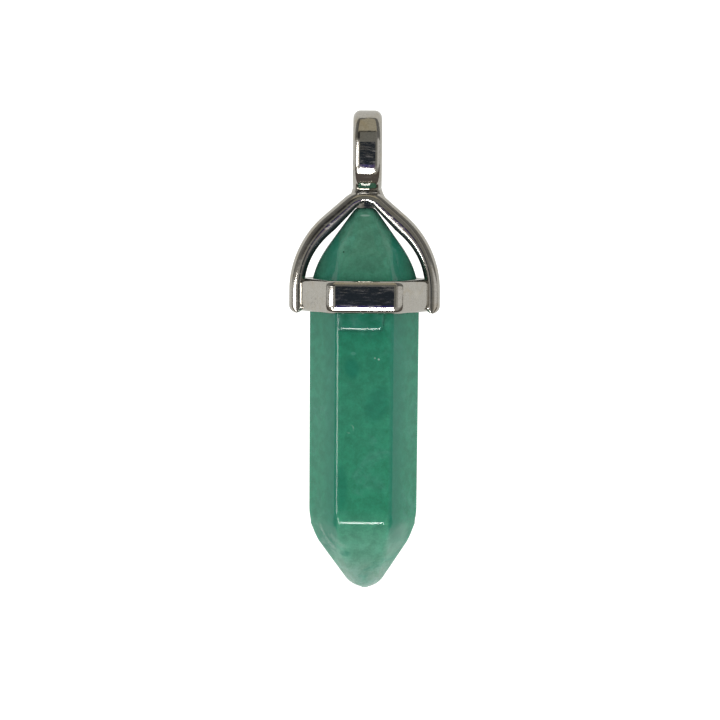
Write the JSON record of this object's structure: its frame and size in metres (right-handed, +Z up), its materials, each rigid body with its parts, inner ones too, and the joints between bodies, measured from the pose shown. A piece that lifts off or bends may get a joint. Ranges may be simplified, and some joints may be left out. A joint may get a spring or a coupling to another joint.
{
  "type": "crystal point pendant",
  "caption": "Six-sided crystal with a point at each end, held in a cast metal collar with an arch over the upper point and a loop for a chain.",
  "frame": {"origin": "on the surface it lies on, below the middle of the pendant's length and width", "axes": "+Z up from the surface, +Y along the pendant towards the bail, +X across it; the front face is up"},
  "size_m": [0.0126, 0.04, 0.0106],
  "materials": {
    "green_stone": "polished, faintly cloudy green stone",
    "plated_metal": "polished silver-grey plating on cast metal"
  },
  "bodies": {
    "root": {"crystal": "green_stone", "mount": "plated_metal"}
  },
  "joints": []
}
